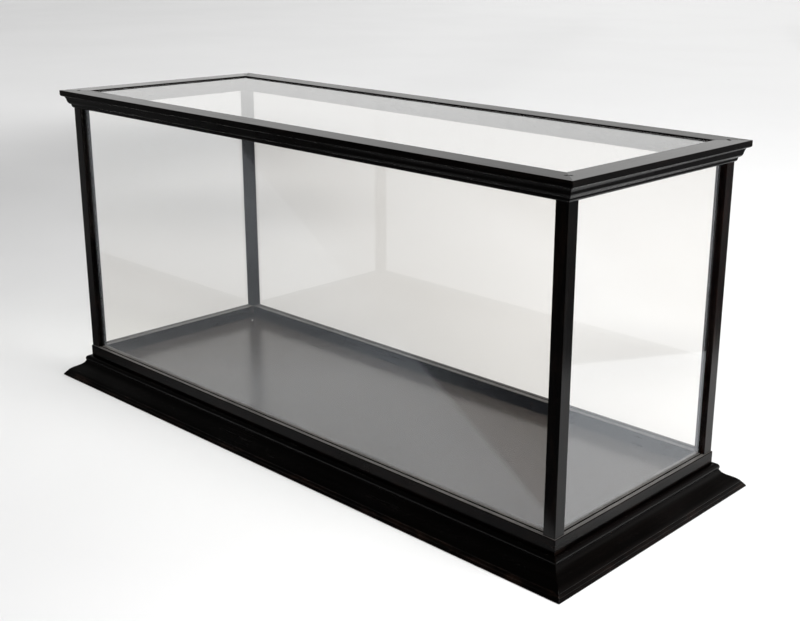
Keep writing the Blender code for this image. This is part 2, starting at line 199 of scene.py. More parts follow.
def finish_mesh(obj, angle=33.0):
    """Smooth on the curves, crisp at the corners, with flats that stay flat."""
    mesh = obj.data
    for face in mesh.polygons:
        face.use_smooth = True
    mesh.set_sharp_from_angle(angle=math.radians(angle))
    weighted = obj.modifiers.new("even_normals", "WEIGHTED_NORMAL")
    weighted.keep_sharp = True
    weighted.weight = 60


def add(name, mesh, matrix=Matrix.Identity(4)):
    obj = bpy.data.objects.new(name, mesh)
    scene.collection.objects.link(obj)
    obj.matrix_world = matrix
    return obj


def wear_piece(obj, material, body, slot, *nodes):
    obj.data.materials.clear()
    for m in (material if isinstance(material, (list, tuple)) else [material]):
        obj.data.materials.append(m)
    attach(obj, body)
    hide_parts(*nodes)
    return obj


def bored(obj, tools):
    """Cuts the tools out of the piece and removes them."""
    for tool in tools:
        step = obj.modifiers.new("bore", "BOOLEAN")
        step.operation, step.solver, step.object = "DIFFERENCE", "MANIFOLD", tool
    bpy.context.view_layer.update()
    graph = bpy.context.evaluated_depsgraph_get()
    mesh = bpy.data.meshes.new_from_object(obj.evaluated_get(graph))
    obj.modifiers.clear()
    old, obj.data = obj.data, mesh
    mark = old.attributes["seed"].data[0].value
    mesh.attributes["seed"].data.foreach_set("value", [mark] * len(mesh.vertices))
    mesh.name = old.name
    bpy.data.meshes.remove(old)
    for tool in tools:
        shape = tool.data
        bpy.data.objects.remove(tool, do_unlink=True)
        bpy.data.meshes.remove(shape)
    return obj


def turned(name, profile, sides=40):
    """A closed turned mesh; profile points are (radius, height) from the top down, in millimetres."""
    work = bmesh.new()
    rows = []
    for r, z in profile:
        if r < 1e-6:
            rows.append([work.verts.new((0, 0, z * MM))])
        else:
            rows.append([work.verts.new((r * MM * math.cos(2 * math.pi * k / sides),
                                         r * MM * math.sin(2 * math.pi * k / sides), z * MM)) for k in range(sides)])
    for a, b in zip(rows, rows[1:]):
        for k in range(sides):
            j = (k + 1) % sides
            if len(a) == 1:
                work.faces.new((a[0], b[k], b[j]))
            elif len(b) == 1:
                work.faces.new((a[k], b[0], a[j]))
            else:
                work.faces.new((a[k], b[k], b[j], a[j]))
    bmesh.ops.recalc_face_normals(work, faces=work.faces)
    mesh = bpy.data.meshes.new(name)
    work.to_mesh(mesh)
    work.free()
    return mesh


def screw_mesh(name, head, shank, length, plain, pitch, recess, seed, sides=20):
    """A countersunk wood screw with a threaded shank and a cross recess, its head's flat at z = 0."""
    core = shank * 0.68
    rows = [[(0.0, 0.0)] * sides, [(head * 0.55, 0.0)] * sides, [(head - 0.10, 0.0)] * sides, [(head, -0.10)] * sides,
            [(head, -0.30)] * sides]
    cone_end = 0.30 + head - shank
    for k in range(1, 5):
        t = k / 4
        rows.append([(head + (shank - head) * t, -0.30 - (head - shank) * t)] * sides)
    rows.append([(shank, -cone_end - plain)] * sides)
    tip = 3.0 * shank
    z, bottom = cone_end + plain, length
    while z < bottom - 0.05:
        z = min(z + pitch / 7, bottom - 0.04)
        fade = min(1.0, (z - cone_end - plain) / (1.5 * pitch))
        taper = min(1.0, max(0.06, (bottom - z) / tip))
        ring = []
        for k in range(sides):
            phase = (z / pitch - k / sides) % 1.0
            ridge = max(0.0, 1.0 - abs(phase - 0.5) / 0.30)
            radius = core + (shank - core) * ((1 - fade) + fade * ridge)
            ring.append((radius * taper, -z))
        rows.append(ring)
    work = bmesh.new()
    mark = work.verts.layers.float.new("seed")
    worn = work.verts.layers.float.new("wear")
    made = []
    for index, ring in enumerate(rows[1:]):
        row = []
        for k, (r, h) in enumerate(ring):
            a = 2 * math.pi * k / sides
            vertex = work.verts.new((r * MM * math.cos(a), r * MM * math.sin(a), h * MM))
            vertex[mark] = seed
            vertex[worn] = 1.0 if index in (1, 2) else (0.6 if r > 0.95 * shank and index > 9 else 0.0)
            row.append(vertex)
        made.append(row)
    top, end = work.verts.new((0, 0, 0)), work.verts.new((0, 0, -length * MM))
    top[mark] = end[mark] = seed
    for k in range(sides):
        j = (k + 1) % sides
        work.faces.new((top, made[0][k], made[0][j]))
        work.faces.new((made[-1][k], end, made[-1][j]))
        for a, b in zip(made, made[1:]):
            work.faces.new((a[k], b[k], b[j], a[j]))
    bmesh.ops.recalc_face_normals(work, faces=work.faces)
    mesh = bpy.data.meshes.new(name)
    work.to_mesh(mesh)
    work.free()
    # cross recess: two crossed tapered blades
    cutters = []
    for turn in (0, math.pi / 2):
        blade, ring = bmesh.new(), []
        for z, reach, wide in ((0.4, recess, recess * 0.30), (-recess * 1.05, recess * 0.28, recess * 0.16)):
            ring.append([blade.verts.new(Matrix.Rotation(turn, 3, "Z") @ Vector((x * MM, y * MM, z * MM)))
                         for x, y in ((-reach, -wide), (reach, -wide), (reach, wide), (-reach, wide))])
        a, b = ring
        blade.faces.new(a)
        blade.faces.new(b[::-1])
        for i in range(4):
            blade.faces.new((a[i - 1], b[i - 1], b[i], a[i]))
        bmesh.ops.recalc_face_normals(blade, faces=blade.faces)
        cutters.append(bpy.data.meshes.new(name + "_recess"))
        blade.to_mesh(cutters[-1])
        blade.free()
    return mesh, cutters


# ------------------------------------------------------------------ shader building
class Maker:
    """Adds nodes to one material and links them."""

    def __init__(self, name):
        self.material = bpy.data.materials.new(name)
        self.material.use_nodes = True
        self.tree = self.material.node_tree
        self.tree.nodes.clear()
        self.out = self.tree.nodes.new("ShaderNodeOutputMaterial")

    def node(self, kind, **settings):
        n = self.tree.nodes.new(kind)
        for key, value in settings.items():
            setattr(n, key, value)
        return n

    def put(self, socket, value):
        if isinstance(value, bpy.types.NodeSocket):
            self.tree.links.new(value, socket)
        else:
            socket.default_value = value

    def coords(self):
        return self.node("ShaderNodeTexCoord").outputs["Object"]

    def attribute(self, name):
        return self.node("ShaderNodeAttribute", attribute_name=name).outputs["Fac"]

    def stretched(self, scale, vector=None):
        n = self.node("ShaderNodeMapping")
        self.put(n.inputs["Vector"], vector or self.coords())
        n.inputs["Scale"].default_value = scale
        return n.outputs["Vector"]

    def noise(self, vector, scale, detail=4.0, roughness=0.55, distortion=0.0, w=None):
        n = self.node("ShaderNodeTexNoise", noise_dimensions="4D" if w is not None else "3D")
        self.put(n.inputs["Vector"], vector)
        if w is not None:
            self.put(n.inputs["W"], w)
        n.inputs["Scale"].default_value = scale
        n.inputs["Detail"].default_value = detail
        n.inputs["Roughness"].default_value = roughness
        n.inputs["Distortion"].default_value = distortion
        return n.outputs["Fac"]

    def math(self, operation, a, b=0.0, clamp=False):
        n = self.node("ShaderNodeMath", operation=operation, use_clamp=clamp)
        self.put(n.inputs[0], a)
        self.put(n.inputs[1], b)
        return n.outputs[0]

    def spread(self, value, low, high, to_low, to_high, smooth=True):
        n = self.node("ShaderNodeMapRange", interpolation_type="SMOOTHSTEP" if smooth else "LINEAR", clamp=True)
        self.put(n.inputs["Value"], value)
        for key, number in zip(("From Min", "From Max", "To Min", "To Max"), (low, high, to_low, to_high)):
            n.inputs[key].default_value = number
        return n.outputs["Result"]

    def blend(self, factor, a, b):
        n = self.node("ShaderNodeMix", data_type="RGBA", clamp_factor=True)
        self.put(n.inputs[0], factor)
        self.put(n.inputs[6], a if isinstance(a, bpy.types.NodeSocket) else (*a, 1.0))
        self.put(n.inputs[7], b if isinstance(b, bpy.types.NodeSocket) else (*b, 1.0))
        return n.outputs[2]

    def bump(self, height, strength, distance, normal=None):
        n = self.node("ShaderNodeBump")
        n.inputs["Strength"].default_value = strength
        n.inputs["Distance"].default_value = distance
        self.put(n.inputs["Height"], height)
        if normal is not None:
            self.put(n.inputs["Normal"], normal)
        return n.outputs["Normal"]

    def principled(self, **sockets):
        n = self.node("ShaderNodeBsdfPrincipled")
        for key, value in sockets.items():
            self.put(n.inputs[key.replace("_", " ")], value)
        return n

    def surface(self, shader):
        self.tree.links.new(shader, self.out.inputs["Surface"])
        return self.material


def lacquered(name, dark, brown, worn, roughness, level=0.10, grain=1.0, wear=1.0, rubbed_top=0.0, dust_and_sheen_top=0.0):
    """Black-brown lacquer over close-grained wood: fine streaks along the piece, a little red where
    the colour has rubbed thin on the edges, an orange-peel skin and open pores. Level tops may be
    rubbed smoother, or painted lighter: a little dust and a painted sheen for the light they catch."""
    m = Maker(name)
    seed = m.math("MULTIPLY", m.attribute("seed"), 7.3)
    place = m.coords()
    streaks = m.noise(m.stretched((5.0, 170.0, 170.0), place), 1.0, 6.0, 0.62, 0.25, seed)
    pores = m.noise(m.stretched((45.0, 1500.0, 1500.0), place), 1.0, 3.0, 0.60, 0.0, seed)
    clouds = m.noise(place, 9.0, 3.0, 0.5, 0.0, seed)
    skin = m.noise(place, 420.0, 2.0, 0.5, 0.0, seed)
    rubbing = m.noise(m.stretched((28.0, 110.0, 110.0), place), 1.0, 4.0, 0.65, 0.0, seed)
    tone = m.math("ADD", m.spread(streaks, 0.36, 0.72, 0.0, 0.75 * grain), m.spread(clouds, 0.45, 0.75, 0.0, 0.30))
    colour = m.blend(tone, dark, brown)
    colour = m.blend(m.spread(pores, 0.60, 0.74, 0.0, 0.55), colour, tuple(0.45 * c for c in dark))
    edge = m.math("MULTIPLY", m.spread(m.attribute("wear"), 0.25, 0.95, 0.0, 1.0), m.spread(rubbing, 0.44, 0.68, 0.0, 0.85 * wear))
    colour = m.blend(edge, colour, worn)
    dull = m.math("ADD", m.spread(clouds, 0.35, 0.70, -0.05, 0.06), m.spread(streaks, 0.35, 0.7, -0.03, 0.04))
    if rubbed_top:
        facing = m.node("ShaderNodeSeparateXYZ")
        m.put(facing.inputs[0], m.node("ShaderNodeNewGeometry").outputs["Normal"])
        roughness = m.spread(facing.outputs[2], 0.90, 0.99, roughness, roughness - rubbed_top)
        if dust_and_sheen_top:
            # level tops turn lighter: partly dust, partly a painted sheen for the light the tops catch
            dust_and_sheen = m.math("MULTIPLY", m.spread(facing.outputs[2], 0.90, 0.99, 0.0, dust_and_sheen_top), m.spread(rubbing, 0.30, 0.70, 0.6, 1.0))
            colour = m.blend(dust_and_sheen, colour, (0.16, 0.152, 0.145))
    rough = m.math("ADD", m.math("ADD", dull, roughness), m.math("MULTIPLY", edge, 0.05), clamp=True)
    height = m.math("ADD", m.math("MULTIPLY", pores, -0.35), m.math("ADD", m.math("MULTIPLY", skin, 0.5), m.math("MULTIPLY", streaks, 0.6)))
    normal = m.bump(height, 0.10, 0.00035)
    shader = m.principled(Base_Color=colour, Roughness=rough, Normal=normal)
    shader.inputs["Specular IOR Level"].default_value = level
    shader.inputs["IOR"].default_value = 1.5
    return m.surface(shader.outputs[0])


def floor_finish():
    """Dark brown satin panel with faint grain along its length."""
    m = Maker("floor_panel_satin")
    place = m.coords()
    streaks = m.noise(m.stretched((3.0, 95.0, 95.0), place), 1.0, 6.0, 0.6, 0.3)
    fine = m.noise(m.stretched((30.0, 900.0, 900.0), place), 1.0, 3.0, 0.6)
    clouds = m.noise(place, 6.0, 3.0, 0.5)
    dust = m.noise(place, 900.0, 2.0, 0.5)
    colour = m.blend(m.spread(streaks, 0.34, 0.70, 0.0, 0.8), (0.0400, 0.0335, 0.0290), (0.0436, 0.0365, 0.0315))
    colour = m.blend(m.spread(fine, 0.60, 0.75, 0.0, 0.15), colour, (0.030, 0.025, 0.021))
    colour = m.blend(m.spread(dust, 0.70, 0.80, 0.0, 0.06), colour, (0.12, 0.11, 0.105))
    rough = m.math("ADD", m.spread(clouds, 0.3, 0.7, 0.195, 0.215), m.spread(fine, 0.3, 0.7, -0.004, 0.004))
    height = m.math("ADD", m.math("MULTIPLY", fine, -0.5), m.math("MULTIPLY", streaks, 0.10))
    shader = m.principled(Base_Color=colour, Roughness=rough, Normal=m.bump(height, 0.006, 0.00001))
    shader.inputs["Specular IOR Level"].default_value = 0.5
    return m.surface(shader.outputs[0])


def bare_wood():
    """Sawn softwood with growth rings and saw marks."""
    m = Maker("bare_softwood")
    seed = m.math("MULTIPLY", m.attribute("seed"), 3.1)
    place = m.coords()
    rings = m.node("ShaderNodeTexWave", wave_type="BANDS", bands_direction="Y")
    m.put(rings.inputs["Vector"], m.stretched((6.0, 60.0, 40.0), place))
    rings.inputs["Scale"].default_value = 1.1
    rings.inputs["Distortion"].default_value = 5.0
    rings.inputs["Detail"].default_value = 3.0
    rings.inputs["Detail Scale"].default_value = 0.9
    fibre = m.noise(m.stretched((25.0, 700.0, 700.0), place), 1.0, 4.0, 0.6, 0.0, seed)
    patch = m.noise(place, 25.0, 3.0, 0.5, 0.0, seed)
    saw = m.node("ShaderNodeTexWave", wave_type="BANDS", bands_direction="X")
    m.put(saw.inputs["Vector"], place)
    saw.inputs["Scale"].default_value = 120.0
    saw.inputs["Distortion"].default_value = 1.5
    colour = m.blend(m.spread(rings.outputs["Fac"], 0.2, 0.9, 0.0, 1.0), (0.50, 0.335, 0.19), (0.36, 0.205, 0.10))
    colour = m.blend(m.spread(fibre, 0.55, 0.75, 0.0, 0.4), colour, (0.30, 0.17, 0.08))
    colour = m.blend(m.spread(patch, 0.5, 0.8, 0.0, 0.3), colour, (0.42, 0.27, 0.15))
    rough = m.spread(fibre, 0.3, 0.7, 0.62, 0.82)
    height = m.math("ADD", m.math("MULTIPLY", fibre, 0.7), m.math("MULTIPLY", saw.outputs["Fac"], 0.35))
    shader = m.principled(Base_Color=colour, Roughness=rough, Normal=m.bump(height, 0.35, 0.0005))
    return m.surface(shader.outputs[0])


def steel(name, dark, light, roughness, metal=1.0):
    """Screw steel: a mottled coating, rubbed bright on the edges."""
    m = Maker(name)
    seed = m.math("MULTIPLY", m.attribute("seed"), 5.7)
    place = m.coords()
    mottle = m.noise(place, 900.0, 4.0, 0.6, 0.0, seed)
    lines = m.noise(m.stretched((300.0, 300.0, 5200.0), place), 1.0, 2.0, 0.5, 0.0, seed)
    edge = m.math("MULTIPLY", m.attribute("wear"), m.spread(mottle, 0.40, 0.65, 0.15, 0.8))
    colour = m.blend(m.spread(mottle, 0.3, 0.7, 0.0, 0.6), dark, tuple(0.5 * (a + b) for a, b in zip(dark, light)))
    colour = m.blend(edge, colour, light)
    rough = m.math("ADD", m.spread(mottle, 0.3, 0.7, roughness - 0.08, roughness + 0.08), m.math("MULTIPLY", lines, 0.08))
    shader = m.principled(Base_Color=colour, Roughness=rough, Normal=m.bump(lines, 0.15, 0.0001))
    shader.inputs["Metallic"].default_value = metal
    return m.surface(shader.outputs[0])


def glass():
    """Clear float glass with a trace of smear, its reflections painted a cool blue; lamps shine through it."""
    m = Maker("clear_glass_painted_cool_reflections")
    place = m.coords()
    smear = m.noise(m.stretched((5.0, 5.0, 2.5), place), 1.0, 5.0, 0.62, 0.4)
    rough = m.spread(smear, 0.45, 0.75, 0.0, 0.018)
    waves = m.noise(place, 3.0, 2.0, 0.4)
    shader = m.principled(Roughness=rough, Normal=m.bump(waves, 0.02, 0.0004))
    shader.inputs["Base Color"].default_value = (0.990, 0.987, 0.979, 1.0)
    # painted reflection: the reflections are tinted cool blue to stand in for cool light on the camera's side
    shader.inputs["Specular Tint"].default_value = (0.94, 1.06, 1.22, 1.0)
    shader.inputs["Transmission Weight"].default_value = 1.0
    shader.inputs["IOR"].default_value = 1.5
    clear = m.node("ShaderNodeBsdfTransparent")
    clear.inputs["Color"].default_value = (0.90, 0.905, 0.90, 1.0)
    mix = m.node("ShaderNodeMixShader")
    m.put(mix.inputs[0], m.node("ShaderNodeLightPath").outputs["Is Shadow Ray"])
    m.tree.links.new(shader.outputs[0], mix.inputs[1])
    m.tree.links.new(clear.outputs[0], mix.inputs[2])
    return m.surface(mix.outputs[0])


def ground_edge():
    """The ground edge of a pane: frosted and a little green."""
    m = Maker("ground_glass_edge")
    place = m.coords()
    grit = m.noise(place, 1800.0, 3.0, 0.6)
    colour = m.blend(m.spread(grit, 0.3, 0.7, 0.0, 1.0), (0.34, 0.56, 0.48), (0.46, 0.66, 0.58))
    rough = m.spread(grit, 0.3, 0.7, 0.35, 0.55)
    shader = m.principled(Base_Color=colour, Roughness=rough, Normal=m.bump(grit, 0.3, 0.0001))
    shader.inputs["Transmission Weight"].default_value = 0.45
    shader.inputs["IOR"].default_value = 1.5
    return m.surface(shader.outputs[0])


# The lid lacquer in two copies with the same colours: the long sides reflect far less, painted shade for their unlit
# faces, and the ends reflect more, painted light where the light falls on them.
SHADED_LID_WOOD = lacquered("lid_lacquer_painted_shade", (0.0006, 0.0005, 0.0005), (0.0014, 0.0011, 0.0009), (0.012, 0.0080, 0.0062), 0.26, 0.036, rubbed_top=0.13)
LIT_LID_END_WOOD = lacquered("lid_end_lacquer_painted_light", (0.0006, 0.0005, 0.0005), (0.0014, 0.0011, 0.0009), (0.012, 0.0080, 0.0062), 0.24, 0.13, rubbed_top=0.10)
# Three copies of one post lacquer: the front-right post's copy is darker, painted shade, and the back-right post's
# copy is redder and lighter, painted light where the light falls on it.
POST_WOOD = lacquered("post_lacquer", (0.0003, 0.0002, 0.0002), (0.0008, 0.0004, 0.0003), (0.010, 0.0046, 0.0030), 0.18, 0.10, grain=0.7)
SHADED_POST_WOOD = lacquered("post_lacquer_painted_shade", (0.0002, 0.0001, 0.0001), (0.0005, 0.0003, 0.0002), (0.006, 0.0030, 0.0020), 0.18, 0.14, grain=0.7)
LIT_POST_WOOD = lacquered("post_lacquer_painted_light", (0.0010, 0.0004, 0.0003), (0.0034, 0.0012, 0.0008), (0.020, 0.0074, 0.0048), 0.18, 0.18)
# The rail lacquer in two copies: the ends' copy is a little redder and reflects more, painted light; the long sides'
# copy is the shaded one. Both carry dust and a painted sheen on their level tops.
SHADED_RAIL_WOOD = lacquered("rail_lacquer_painted_shade", (0.0005, 0.0004, 0.0004), (0.0012, 0.0008, 0.0007), (0.010, 0.0056, 0.0042), 0.22, 0.05, rubbed_top=0.12, dust_and_sheen_top=0.6)
LIT_RAIL_END_WOOD = lacquered("rail_end_lacquer_painted_light", (0.0005, 0.0004, 0.0004), (0.0014, 0.0008, 0.0006), (0.010, 0.0056, 0.0042), 0.22, 0.09, rubbed_top=0.12, dust_and_sheen_top=0.6)
# The skirt lacquer in two copies: the long sides' copy is darker, painted shade, and the ends' copy is lighter and
# browner, painted light where the light falls on them.
SHADED_SKIRT_WOOD = lacquered("skirt_lacquer_painted_shade", (0.0002, 0.00015, 0.0001), (0.0006, 0.0004, 0.0003), (0.016, 0.0090, 0.0066), 0.20, 0.08)
LIT_SKIRT_END_WOOD = lacquered("skirt_end_lacquer_painted_light", (0.0004, 0.0003, 0.0002), (0.0018, 0.0010, 0.0008), (0.016, 0.0090, 0.0066), 0.20, 0.09)
FLOOR_WOOD = floor_finish()
BLOCK_WOOD = bare_wood()
DARK_STEEL = steel("blacked_steel_screw", (0.030, 0.029, 0.028), (0.30, 0.29, 0.28), 0.40)
ZINC = steel("zinc_plated_steel", (0.50, 0.50, 0.48), (0.82, 0.82, 0.80), 0.30)
PIN_STEEL = steel("dull_pin_steel", (0.66, 0.66, 0.64), (0.90, 0.90, 0.88), 0.45, 0.25)
GLASS_FACE = glass()
GLASS_EDGE = ground_edge()

# ------------------------------------------------------------------ sections
foot = [(0, 0)] + cubic((0, 1.0), (0.7, 2.1), (1.3, 2.9), (2.0, 3.6), 6) + [(2.3, 3.6)]
foot += cubic((2.45, 4.4), (3.2, 5.3), (4.0, 6.1), (4.8, 6.9), 6) + [(5.2, 6.9)]
ogee = cubic((5.4, 7.9), (7.2, 10.2), (10.5, 12.3), (15.0, 14.6), 14)
ogee += cubic((15.0, 14.6), (19.2, 16.6), (23.8, 19.0), (25.6, 22.4), 14) + [(26.2, 23.2)]
stop = math.degrees(math.acos((33.0 - 31.9) / 5.5))
bead = arc(31.9, 27.7, 5.5, 5.5, 215, stop, 26)
SKIRT = eased(foot + ogee + bead + [(33.0, 18.4), (38.0, 18.4), (38.0, 0)], 0.16)

groove = SLOT_INSET - RAIL_INSET
RAIL = [(0, RAIL_LOW)] + arc(1.0, RAIL_TOP - 1.0, 1.0, 1.0, 180, 90, 7)
RAIL += [(groove, RAIL_TOP), (groove, RAIL_TOP - 6.0), (groove + SLOT_WIDTH, RAIL_TOP - 6.0), (groove + SLOT_WIDTH, RAIL_TOP),
         (RAIL_WIDTH, RAIL_TOP), (RAIL_WIDTH, RAIL_LOW)]
RAIL = eased(RAIL, 0.30)

slot = SLOT_INSET - POST_INSET
deep, far = POST_SIZE - 5.0, POST_SIZE - 0.5
POST = arc(0.5, 0.5, 0.5, 0.5, 180, 270, 6) + arc(far, 0.5, 0.5, 0.5, 270, 360, 6)
POST += [(POST_SIZE, slot), (deep, slot), (deep, slot + SLOT_WIDTH), (POST_SIZE, slot + SLOT_WIDTH)]
POST += arc(far, far, 0.5, 0.5, 0, 90, 6)
POST += [(slot + SLOT_WIDTH, POST_SIZE), (slot + SLOT_WIDTH, deep), (slot, deep), (slot, POST_SIZE)]
POST += arc(0.5, far, 0.5, 0.5, 90, 180, 6)
POST = eased([(x - POST_SIZE / 2, y - POST_SIZE / 2) for x, y in POST], 0.25)

lid_groove = SLOT_INSET - LID_INSET
top = HEIGHT
LID = arc(0.5, top - 0.5, 0.5, 0.5, 90, 180, 5)
LID += arc(4.7, top - 6.6, 4.7, 2.8, 180, 270, 14)
LID += cubic((4.9, top - 9.9), (5.6, top - 11.0), (6.5, top - 13.2), (6.9, top - 15.6), 10)
LID += cubic((6.9, top - 15.6), (7.25, top - 17.7), (8.6, top - 20.2), (11.0, top - 20.9), 14)[1:]
LID += cubic((11.5, top - 21.6), (11.6, top - 23.2), (12.0, top - 25.0), (13.2, top - 25.8), 8)
LID += [(13.4, LID_LOW), (lid_groove, LID_LOW), (lid_groove, LID_LOW + 5.0), (lid_groove + SLOT_WIDTH, LID_LOW + 5.0),
        (lid_groove + SLOT_WIDTH, LID_LOW), (LID_WIDTH, LID_LOW)]
LID += arc(LID_WIDTH - 0.8, top - 0.8, 0.8, 0.8, 0, 90, 6)
LID = eased(LID, 0.20)

GLAZING = [(0, LID_LOW), (0, 454.7), (6.2, 454.7)] + arc(5.7, LID_LOW + 0.5, 0.5, 0.5, 0, -90, 5)
GLAZING = eased(GLAZING, 0.25)

# ------------------------------------------------------------------ base and lid woodwork
def around(inset, turn):
    """Where a side's outer edge sits, turned to that side."""
    x, y = HALF_X - inset, HALF_Y - inset
    place = ((0, -y), (x, 0), (0, y), (-x, 0))[turn]
    return Matrix.Translation(Vector((*place, 0)) * MM) @ Matrix.Rotation(turn * math.pi / 2, 4, "Z")


def corner(name, inset_x, inset_y):
    sign_x = -1 if name.endswith("left") else 1
    sign_y = -1 if name.startswith("front") else 1
    return Vector((sign_x * (HALF_X - inset_x), sign_y * (HALF_Y - inset_y), 0)) * MM


def bore_tool(x, y, profile, sides=28):
    return add("bore_tool", turned("bore_tool", profile, sides), Matrix.Translation((x, y, 0)))


HEAD_TOP = top - 0.4
LID_HOLE = [(0, top + 1), (2.3, top + 1), (2.3, HEAD_TOP - 0.5), (1.6, HEAD_TOP - 1.3), (1.6, HEAD_TOP - 50.3), (0, HEAD_TOP - 50.3)]
POST_HOLE = [(0, 86.2), (2.1, 86.2), (2.1, 6.8), (4.3, 4.6), (4.3, 2.4), (0, 2.4)]


def screw_places(name):
    """The two lid screws of one corner: beside the mitre, one in each rail."""
    return corner(name, POST_INSET + 8.2, POST_INSET + 4.6), corner(name, POST_INSET + 4.6, POST_INSET + 8.2)


for turn, side in enumerate(SIDES):
    long = turn % 2 == 0
    reach = (HALF_X if long else HALF_Y)
    here = [c for c in CORNERS if side in c.split("_")]
    piece = add(side + "_skirt_moulding", mitred(side + "_skirt", SKIRT, reach, turn + 0.13, lighter_below=7.2), around(0, turn))
    finish_mesh(piece)
    wear_piece(piece, SHADED_SKIRT_WOOD if long else LIT_SKIRT_END_WOOD, "base", "skirt_wood", "skirt_" + side)

    piece = add(side + "_base_rail", mitred(side + "_rail", RAIL, reach - RAIL_INSET, turn + 4.31), around(RAIL_INSET, turn))
    middle = POST_INSET + POST_SIZE / 2
    bored(piece, [bore_tool(*corner(c, middle, middle).xy, POST_HOLE) for c in here])
    finish_mesh(piece)
    wear_piece(piece, SHADED_RAIL_WOOD if long else LIT_RAIL_END_WOOD, "base", "rail_wood", "rail_" + side)

    piece = add(side + "_lid_moulding", mitred(side + "_lid", LID, reach - LID_INSET, turn + 8.57), around(LID_INSET, turn))
    bored(piece, [bore_tool(*screw_places(c)[0 if long else 1].xy, LID_HOLE) for c in here])
    finish_mesh(piece)
    wear_piece(piece, SHADED_LID_WOOD if long else LIT_LID_END_WOOD, "lid", "lid_wood", "lid_rail_" + side)

    piece = add(side + "_lid_glazing_bead", mitred(side + "_bead", GLAZING, reach - 55.3, turn + 12.71), around(55.3, turn))
    finish_mesh(piece)
    wear_piece(piece, SHADED_LID_WOOD, "lid", "lid_wood", "glazing_bead_" + side)

# posts stand on the rails: their length is local X, so that the grain runs up them
UPRIGHT = Matrix(((0, 1, 0, 0), (0, 0, 1, 0), (1, 0, 0, 0), (0, 0, 0, 1)))
for turn, name in enumerate(CORNERS):
    middle = POST_INSET + POST_SIZE / 2
    half = (POST_TOP - POST_LOW) / 2
    place = corner(name, middle, middle) + Vector((0, 0, POST_LOW + half)) * MM
    piece = add(name + "_corner_post", straight(name + "_post", POST, half, turn + 16.9),
                Matrix.Translation(place) @ Matrix.Rotation(turn * math.pi / 2, 4, "Z") @ UPRIGHT)
    tools = [bore_tool(*p.xy, LID_HOLE) for p in screw_places(name)] + [bore_tool(*place.xy, POST_HOLE)]
    bored(piece, tools)
    finish_mesh(piece)
    # the front-right post takes the painted-shade copy and the back-right post takes the painted-light copy
    wood = {"back_right": LIT_POST_WOOD, "front_right": SHADED_POST_WOOD}.get(name, POST_WOOD)
    wear_piece(piece, wood, "base", "post_wood", "post_" + name)

    # corner block under the board
    outline = [(0, 0), (80, 0), (80, 8), (8, 80), (0, 80)]
    points = outward(eased(outline, 1.2))[0]
    loops = []
    for z, shrink in ((3.4, 0.7), (4.1, 0.0), (17.7, 0.0), (18.4, 0.7)):
        cx, cy = 30.0, 30.0
        loops.append([(x + (cx - x) * shrink / 50.0, y + (cy - y) * shrink / 50.0, z) for x, y in points])
    block = lofted(name + "_block", loops, [[0.0] * len(points)] * len(loops), turn + 20.3)
    spot = corner(name, 38.3, 38.3)
    piece = add(name + "_corner_block", block, Matrix.Translation(spot) @ Matrix.Rotation(turn * math.pi / 2, 4, "Z"))
    pin = corner(name, 69.0, 69.0)
    bored(piece, [bore_tool(*place.xy, POST_HOLE), bore_tool(*pin.xy, [(0, 40), (1.1, 40), (1.1, 9.3), (0, 9.3)], 20)])
    finish_mesh(piece)
    wear_piece(piece, BLOCK_WOOD, "base", "block_wood", "glue_block_" + name)

    # long screw, head down in the block
    mesh, blades = screw_mesh(name + "_long_screw", 4.0, 1.8, 82.0, 22.0, 1.9, 2.1, turn + 24.1)
    piece = add(name + "_long_screw", mesh, Matrix.Translation((place.x, place.y, 3.9 * MM)) @ Matrix.Rotation(math.pi, 4, "X"))
    bored(piece, [add("recess_tool", blade, piece.matrix_world.copy()) for blade in blades])
    finish_mesh(piece, 40.0)
    wear_piece(piece, ZINC, "base", "zinc_steel", "post_screw_" + name)

    # panel pin with a domed head
    profile = [(0, 31.62), (0.5, 31.58), (0.95, 31.45), (1.3, 31.25), (1.48, 31.1), (1.42, 31.0), (0.8, 31.0)]
    profile += [p for k in range(4) for p in ((0.8, 28.6 - 0.5 * k), (0.72, 28.45 - 0.5 * k), (0.8, 28.3 - 0.5 * k))]
    profile += [(0.8, 11.2), (0.35, 10.1), (0, 9.62)]
    piece = add(name + "_panel_pin", turned(name + "_pin", profile, 24), Matrix.Translation((pin.x, pin.y, 0)))
    finish_mesh(piece, 40.0)
    wear_piece(piece, PIN_STEEL, "base", "zinc_steel", "floor_pin_" + name)

    # lid screws, sunk in the lid's top
    for mark, p, spin in zip("ab", screw_places(name), (0.35, 1.1)):
        mesh, blades = screw_mesh(name + "_lid_screw_" + mark, 2.0, 1.3, 50.0, 14.0, 1.3, 1.15, turn * 2 + 30.7 + (mark == "b"))
        piece = add(name + "_lid_screw_" + mark, mesh, Matrix.Translation((p.x, p.y, HEAD_TOP * MM)) @ Matrix.Rotation(spin + turn, 4, "Z"))
        bored(piece, [add("recess_tool", blade, piece.matrix_world.copy()) for blade in blades])
        finish_mesh(piece, 40.0)
        wear_piece(piece, DARK_STEEL, "lid", "blacked_steel", "lid_screw_" + name + "_" + mark)


